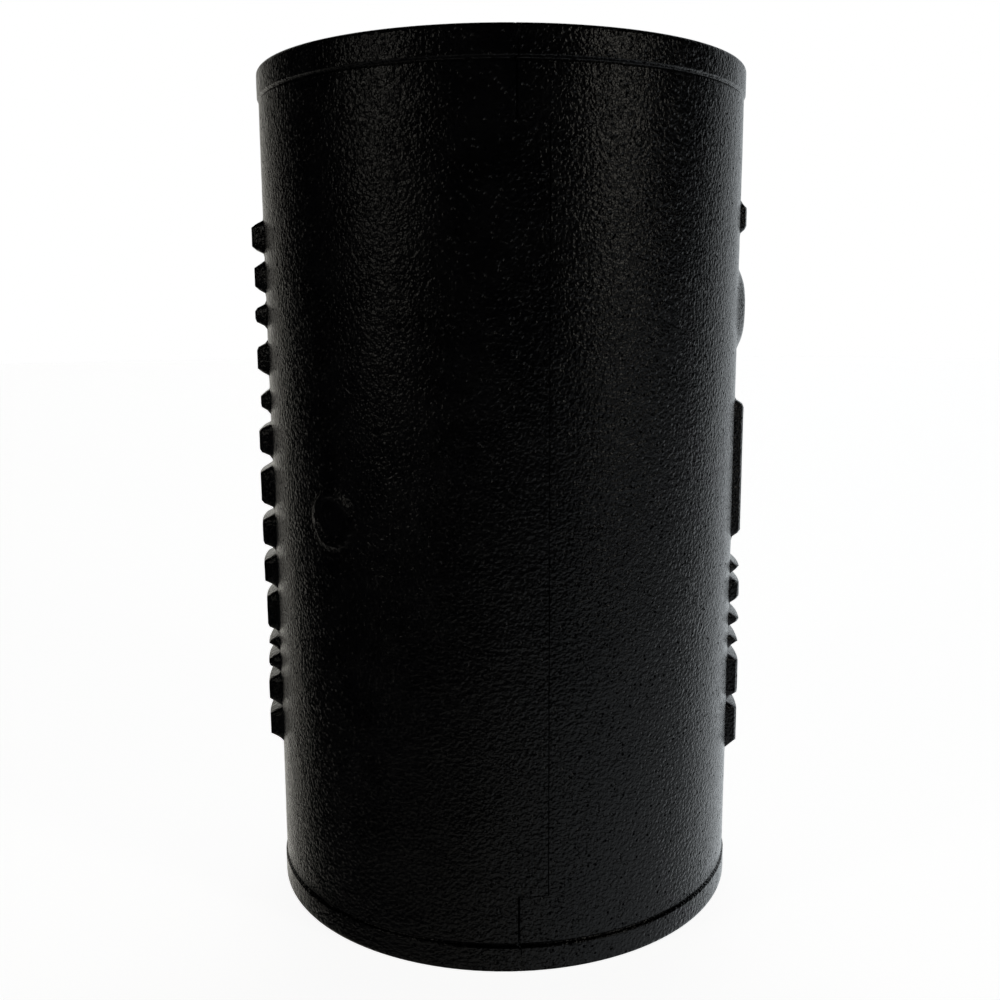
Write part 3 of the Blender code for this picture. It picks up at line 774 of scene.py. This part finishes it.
def make_clevis_pin(number, material):
    """A headed pin with a domed head, a chamfered tail and a cross hole."""
    low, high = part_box(f"clevis_pin_{number}")
    head_low = high.z - PIN_HEAD_HEIGHT
    profile = [
        (CLEVIS_PIN_RADIUS - CLEVIS_PIN_CHAMFER, low.z),
        (CLEVIS_PIN_RADIUS, low.z + CLEVIS_PIN_CHAMFER),
        (CLEVIS_PIN_RADIUS, head_low),
        (PIN_HEAD_RADIUS - 0.2 * MM, head_low),
        (PIN_HEAD_RADIUS, head_low + 0.3 * MM),
    ]
    for bend in (0, 20, 40, 60, 78):
        angle = math.radians(bend)
        z = high.z - PIN_DOME_HEIGHT + PIN_DOME_HEIGHT * math.sin(angle)
        profile.append((PIN_HEAD_RADIUS * math.cos(angle), z))
    mesh = bmesh.new()
    add_turned(mesh, profile, 56, Matrix.Translation((CLEVIS.x, CLEVIS.y, 0)))
    pin = to_object(f"lug_pin_{number}", mesh)
    hole = bmesh.new()
    across = Matrix.Translation((0, CLEVIS.y, middle(f"split_pin_{number}").z)) @ ALONG_X
    add_prism(hole, circle(CROSS_HOLE_RADIUS, 24), 2 * CLEVIS.x, 0, across)
    combine(pin, hole, "DIFFERENCE")
    finish_piece(pin, "left_half", [f"clevis_pin_{number}"], material)


WIRE_RADIUS = 0.58 * MM
LOOP_INSET = 2.4 * MM
LOOP_RADIUS = 1.75 * MM
LOOP_NECK = 1.6 * MM
# The bent ends of the two legs, in millimetres: inset from the pin's end, and spread
LONG_LEG = ((1.1, 1.7), (2.0, 1.2), (3.2, 0.62))
SHORT_LEG = ((4.2, 0.62), (3.1, 1.3), (2.3, 1.75))


def make_split_pin(number, material):
    """A split pin of folded wire: a round loop, and two legs with their ends bent apart."""
    low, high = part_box(f"split_pin_{number}")
    centre = middle(f"split_pin_{number}")
    loop_x = low.x + LOOP_INSET
    neck_x = loop_x + LOOP_RADIUS + LOOP_NECK
    leg_offset = WIRE_RADIUS * 1.02
    points = [(high.x - inset * MM, y * MM) for inset, y in LONG_LEG]
    points += [(CLEVIS.x, leg_offset), (neck_x, leg_offset)]
    for i in range(11):
        angle = math.radians(30 + 300 * i / 10)
        points.append((loop_x + LOOP_RADIUS * math.cos(angle), LOOP_RADIUS * math.sin(angle)))
    points += [(neck_x, -leg_offset), (CLEVIS.x, -leg_offset)]
    points += [(high.x - inset * MM, -y * MM) for inset, y in SHORT_LEG]
    curve = bpy.data.curves.new(f"split_wire_{number}", "CURVE")
    curve.dimensions = "3D"
    curve.bevel_depth = WIRE_RADIUS
    curve.bevel_resolution = 3
    curve.use_fill_caps = True
    curve.resolution_u = 4
    spline = curve.splines.new("NURBS")
    spline.points.add(len(points) - 1)
    for point, (x, y) in zip(spline.points, points):
        point.co = (x, centre.y + y, centre.z, 1)
    spline.order_u = 3
    spline.use_endpoint_u = True
    guide = bpy.data.objects.new("wire", curve)
    bpy.context.scene.collection.objects.link(guide)
    bpy.context.view_layer.update()
    data = bpy.data.meshes.new_from_object(guide)
    bpy.data.objects.remove(guide)
    pin = bpy.data.objects.new(f"folded_split_pin_{number}", data)
    bpy.context.scene.collection.objects.link(pin)
    finish_piece(pin, "left_half", [f"split_pin_{number}"], material, 50)


SOCKET_RADIUS = 1.45 * MM
SOCKET_DEPTH = 2.2 * MM


def make_pin_screw(node, upward, material):
    """A grub screw in the end of the hinge pin's hole, with a hexagon socket facing out."""
    low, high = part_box(node)
    radius = (high.x - low.x) / 2
    mesh = bmesh.new()
    profile = rounded_rod(radius, low.z, high.z, 0.4 * MM, 2)
    add_turned(mesh, profile, 36, Matrix.Translation((0, HINGE_Y, 0)))
    screw = to_object(f"{node}_socket", mesh)
    socket = bmesh.new()
    span = (low.z - MM, low.z + SOCKET_DEPTH)
    if upward:
        span = (high.z - SOCKET_DEPTH, high.z + MM)
    add_prism(socket, circle(SOCKET_RADIUS, 6, (0, HINGE_Y)), *span)
    combine(screw, socket, "DIFFERENCE")
    finish_piece(screw, "right_half", [node], material)


# Materials


class Nodes:
    """A material's node tree, with short calls for adding and joining nodes."""

    def __init__(self, name):
        self.material = bpy.data.materials.new(name)
        self.material.use_nodes = True
        self.tree = self.material.node_tree
        self.shader = self.tree.nodes["Principled BSDF"]
        self.place = self.add("ShaderNodeTexCoord").outputs["Object"]

    def add(self, kind):
        return self.tree.nodes.new(kind)

    def join(self, output, socket):
        self.tree.links.new(output, socket)

    def noise(self, size, detail=2.0, roughness=0.5):
        """Noise whose blobs are about this size in metres."""
        node = self.add("ShaderNodeTexNoise")
        self.join(self.place, node.inputs["Vector"])
        node.inputs["Scale"].default_value = 1 / size
        node.inputs["Detail"].default_value = detail
        node.inputs["Roughness"].default_value = roughness
        return node.outputs["Fac"]

    def spots(self, size):
        """The distance to scattered points about this far apart, in shares of that distance."""
        node = self.add("ShaderNodeTexVoronoi")
        self.join(self.place, node.inputs["Vector"])
        node.inputs["Scale"].default_value = 1 / size
        return node.outputs["Distance"]

    def fit(self, value, low, high, to_low, to_high):
        """The value with its range carried over to another one, and held inside that."""
        node = self.add("ShaderNodeMapRange")
        self.join(value, node.inputs["Value"])
        names = ("From Min", "From Max", "To Min", "To Max")
        for name, number in zip(names, (low, high, to_low, to_high)):
            node.inputs[name].default_value = number
        return node.outputs["Result"]

    def mix(self, share, first, second):
        """A blend of two colours, by a share that varies over the surface."""
        node = self.add("ShaderNodeMix")
        node.data_type = "RGBA"
        self.join(share, node.inputs["Factor"])
        for name, colour in (("A", first), ("B", second)):
            socket = [s for s in node.inputs if s.name == name and s.type == "RGBA"][0]
            socket.default_value = (*colour, 1)
        return [s for s in node.outputs if s.type == "RGBA"][0]

    def bump(self, height, depth, strength=1.0, under=None):
        """Raises the surface by this height, 0 to 1, times the depth in metres."""
        node = self.add("ShaderNodeBump")
        node.inputs["Strength"].default_value = strength
        node.inputs["Distance"].default_value = depth
        self.join(height, node.inputs["Height"])
        if under:
            self.join(under, node.inputs["Normal"])
        return node.outputs["Normal"]

    def set(self, **values):
        """Gives the shader's inputs numbers, colours or other nodes' outputs."""
        for name, value in values.items():
            socket = self.shader.inputs[name.replace("_", " ")]
            if isinstance(value, (int, float)):
                socket.default_value = value
            elif isinstance(value, tuple):
                socket.default_value = (*value, 1)
            else:
                self.join(value, socket)


def coated_iron():
    """Glossy black bitumen over a sand casting: fine orange peel, small pits and shiny nibs."""
    nodes = Nodes("coated_cast_iron")
    peel = nodes.noise(0.8 * MM, 1.5, 0.55)
    pits = nodes.fit(nodes.spots(1.6 * MM), 0.08, 0.24, 0.0, 1.0)
    nibs = nodes.fit(nodes.spots(2.6 * MM), 0.02, 0.12, 1.0, 0.0)
    relief = nodes.bump(peel, 0.29 * MM)
    relief = nodes.bump(pits, 0.16 * MM, under=relief)
    relief = nodes.bump(nibs, 0.1 * MM, under=relief)
    drift = nodes.fit(nodes.noise(9 * MM, 2), 0.35, 0.7, 0, 1)
    colour = nodes.mix(drift, (0.0008, 0.0008, 0.001), (0.002, 0.002, 0.0022))
    pinholes = nodes.fit(nodes.spots(1.9 * MM), 0.13, 0.21, 0.0, 0.5)
    nodes.set(Base_Color=colour, Normal=relief, IOR=1.5, Specular_IOR_Level=pinholes)
    nodes.set(Roughness=nodes.fit(nodes.noise(2.5 * MM), 0.3, 0.7, 0.14, 0.24))
    return nodes.material


def liner_rubber():
    """Moulded black rubber, matt, with a faint greyish bloom."""
    nodes = Nodes("liner_rubber")
    relief = nodes.bump(nodes.noise(0.5 * MM, 3), 0.04 * MM, 0.6)
    bloom = nodes.fit(nodes.noise(14 * MM, 4, 0.6), 0.4, 0.75, 0, 1)
    colour = nodes.mix(bloom, (0.012, 0.012, 0.0125), (0.03, 0.03, 0.031))
    nodes.set(Base_Color=colour, Normal=relief)
    nodes.set(Roughness=nodes.fit(nodes.noise(5 * MM, 3), 0.3, 0.7, 0.5, 0.72))
    return nodes.material


def plated_steel():
    """Zinc plating with a soft, slightly cloudy shine."""
    nodes = Nodes("zinc_plated_steel")
    cloud = nodes.noise(6 * MM, 4, 0.6)
    colour = nodes.mix(nodes.fit(cloud, 0.35, 0.7, 0, 1), (0.58, 0.58, 0.56), (0.68, 0.69, 0.7))
    relief = nodes.bump(nodes.noise(0.35 * MM, 3), 0.012 * MM, 0.5)
    nodes.set(Base_Color=colour, Metallic=1.0, Normal=relief)
    nodes.set(Roughness=nodes.fit(nodes.noise(1.2 * MM, 3), 0.3, 0.7, 0.24, 0.4))
    return nodes.material


def bright_steel(name="bright_steel", roughness=(0.2, 0.36)):
    """Bare bright steel, between these two roughnesses."""
    nodes = Nodes(name)
    cloud = nodes.noise(4 * MM, 4, 0.6)
    colour = nodes.mix(nodes.fit(cloud, 0.35, 0.7, 0, 1), (0.42, 0.42, 0.43), (0.55, 0.55, 0.56))
    relief = nodes.bump(nodes.noise(0.25 * MM, 3), 0.01 * MM, 0.4)
    nodes.set(Base_Color=colour, Metallic=1.0, Normal=relief)
    nodes.set(Roughness=nodes.fit(nodes.noise(0.9 * MM, 3), 0.3, 0.7, *roughness))
    return nodes.material


def studio_floor():
    """White paper that glows, so that it comes out nearly as white as the surround."""
    nodes = Nodes("studio_floor")
    tone = nodes.fit(nodes.noise(0.4, 2), 0.3, 0.7, 0, 1)
    nodes.set(Base_Color=nodes.mix(tone, (0.8, 0.8, 0.8), (0.82, 0.82, 0.82)), Roughness=0.7)
    nodes.set(Emission_Color=(1.0, 1.0, 1.0), Emission_Strength=FLOOR_GLOW)
    return nodes.material


# Studio

FLOOR_GLOW = 0.93
FLOOR_RADIUS = 3.0
SOFTBOX_DISTANCE = 0.9
SOFTBOX_HEIGHT = 0.42
# The surround's light comes from these directions. Each ramp says how far along its direction
# the light begins and is full, from -1 to 1, and how strong it then is.
BEHIND = (0.25, 0.89, -0.24)
BEHIND_RAMP = (0.38, 0.98, 0.88)
BELOW = (0.35, 0.0, -0.94)
BELOW_RAMP = (0.15, 0.9, 0.38)
# Straight down, where the clamp shades the floor, the light from below fades away.
ABOVE_GROUND = (0, 0, 1)
ABOVE_GROUND_RAMP = (-0.95, -0.6, 1.0)
# It turns from warm at the left to cool at the right.
WARM = (1.0, 0.96, 0.86)
COOL = (0.9, 0.96, 1.0)
TINT = (1, 0, 0)
TINT_RAMP = (-0.6, 0.6, 1.0)
CAMERA_ANGLE = -6.63
CAMERA_DISTANCE = 288.1 * MM
CAMERA_HEIGHT = 146.3 * MM
CAMERA_HEADING = 6.48
CAMERA_PITCH = 9.78
CAMERA_ROLL = -0.29
LENS = 40.77
SENSOR_WIDTH = 36


def make_camera():
    """A camera in front of the hinged side, above the middle and looking slightly down."""
    data = bpy.data.cameras.new("camera")
    data.lens = LENS
    data.sensor_width = SENSOR_WIDTH
    data.clip_start = 0.01
    camera = bpy.data.objects.new("camera", data)
    heading, pitch, roll = (math.radians(a) for a in (CAMERA_HEADING, CAMERA_PITCH, CAMERA_ROLL))
    level = math.cos(pitch)
    forward = Vector((math.sin(heading) * level, math.cos(heading) * level, -math.sin(pitch)))
    right = forward.cross(Vector((0, 0, 1))).normalized()
    up = right.cross(forward)
    right_rolled = right * math.cos(roll) + up * math.sin(roll)
    up_rolled = up * math.cos(roll) - right * math.sin(roll)
    turn = Matrix((right_rolled, up_rolled, -forward)).transposed().to_4x4()
    place = polar(CAMERA_DISTANCE, CAMERA_ANGLE, CAMERA_HEIGHT)
    camera.matrix_world = Matrix.Translation(place) @ turn
    bpy.context.scene.collection.objects.link(camera)
    bpy.context.scene.camera = camera


def add_softbox(name, angle, size, power):
    """A soft rectangular light at this angle round the pipe, aimed at the clamp's middle."""
    data = bpy.data.lights.new(name, "AREA")
    data.shape = "RECTANGLE"
    data.size, data.size_y = size
    data.energy = power
    data.color = WARM
    light = bpy.data.objects.new(name, data)
    light.location = polar(SOFTBOX_DISTANCE, angle, SOFTBOX_HEIGHT)
    aim = Vector((0, 0, LENGTH / 2)) - light.location
    light.rotation_euler = aim.to_track_quat("-Z", "Y").to_euler()
    bpy.context.scene.collection.objects.link(light)


def make_floor():
    """A round white floor that the clamp's coating doesn't mirror."""
    mesh = bmesh.new()
    mesh.faces.new([mesh.verts.new((x, y, 0)) for x, y in circle(FLOOR_RADIUS, 96)])
    floor = to_object("floor", mesh)
    floor.data.materials.append(studio_floor())
    floor.visible_glossy = False


def make_surround():
    """A surround that is white to the camera, and lights the clamp from behind and below."""
    world = bpy.data.worlds.new("studio")
    bpy.context.scene.world = world
    world.use_nodes = True
    tree = world.node_tree
    place = tree.nodes.new("ShaderNodeTexCoord")

    def ramp(direction, low, high, strength):
        """A light that grows towards this direction."""
        across = tree.nodes.new("ShaderNodeVectorMath")
        across.operation = "DOT_PRODUCT"
        across.inputs[1].default_value = direction
        tree.links.new(place.outputs["Generated"], across.inputs[0])
        fade = tree.nodes.new("ShaderNodeMapRange")
        fade.interpolation_type = "SMOOTHSTEP"
        tree.links.new(across.outputs["Value"], fade.inputs["Value"])
        names = ("From Min", "From Max", "To Min", "To Max")
        for name, number in zip(names, (low, high, 0, strength)):
            fade.inputs[name].default_value = number
        return fade.outputs["Result"]

    def calculate(operation, first, second):
        node = tree.nodes.new("ShaderNodeMath")
        node.operation = operation
        tree.links.new(first, node.inputs[0])
        tree.links.new(second, node.inputs[1])
        return node.outputs["Value"]

    behind = ramp(BEHIND, *BEHIND_RAMP)
    above_ground = ramp(ABOVE_GROUND, *ABOVE_GROUND_RAMP)
    below = calculate("MULTIPLY", ramp(BELOW, *BELOW_RAMP), above_ground)
    seen = tree.nodes.new("ShaderNodeLightPath").outputs["Is Camera Ray"]
    strength = calculate("MAXIMUM", calculate("ADD", behind, below), seen)
    tint = tree.nodes.new("ShaderNodeValToRGB")
    tint.color_ramp.elements[0].color = (*WARM, 1)
    tint.color_ramp.elements[1].color = (*COOL, 1)
    tree.links.new(ramp(TINT, *TINT_RAMP), tint.inputs["Fac"])
    whiten = tree.nodes.new("ShaderNodeMixRGB")
    tree.links.new(seen, whiten.inputs["Fac"])
    tree.links.new(tint.outputs["Color"], whiten.inputs["Color1"])
    whiten.inputs["Color2"].default_value = (1, 1, 1, 1)
    background = tree.nodes["Background"]
    tree.links.new(whiten.outputs["Color"], background.inputs["Color"])
    tree.links.new(strength, background.inputs["Strength"])


def make_studio():
    """The floor, the surround and one narrow softbox on each side."""
    make_floor()
    make_surround()
    add_softbox("left_softbox", -61, (0.12, 0.5), 0.2)
    add_softbox("right_softbox", 46, (0.14, 0.5), 0.36)
    bpy.context.scene.view_settings.view_transform = "Standard"


def main():
    make_camera()
    iron = coated_iron()
    rubber = liner_rubber()
    zinc = plated_steel()
    steel = bright_steel()
    stainless = bright_steel("stainless_plate", (0.28, 0.42))

    make_left_shell(iron)
    make_right_shell(iron)
    make_liner("left", -1, rubber)
    make_liner("right", 1, rubber)
    make_bridge_plate(stainless)
    # The hinge pin is hidden in its hole, so its CAD mesh is kept and only gets its material.
    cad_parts["hinge_pin"].data.materials.clear()
    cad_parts["hinge_pin"].data.materials.append(steel)
    make_pin_screw("pin_screw_upper", True, steel)
    make_pin_screw("pin_screw_lower", False, steel)
    for number, height in zip(BOLT_NUMBERS, BOLT_HEIGHTS):
        make_swing_bolt(number, height, zinc)
        make_washer(number, zinc)
        make_nut(number, zinc)
        make_clevis_pin(number, steel)
        make_split_pin(number, steel)
    make_studio()


main()
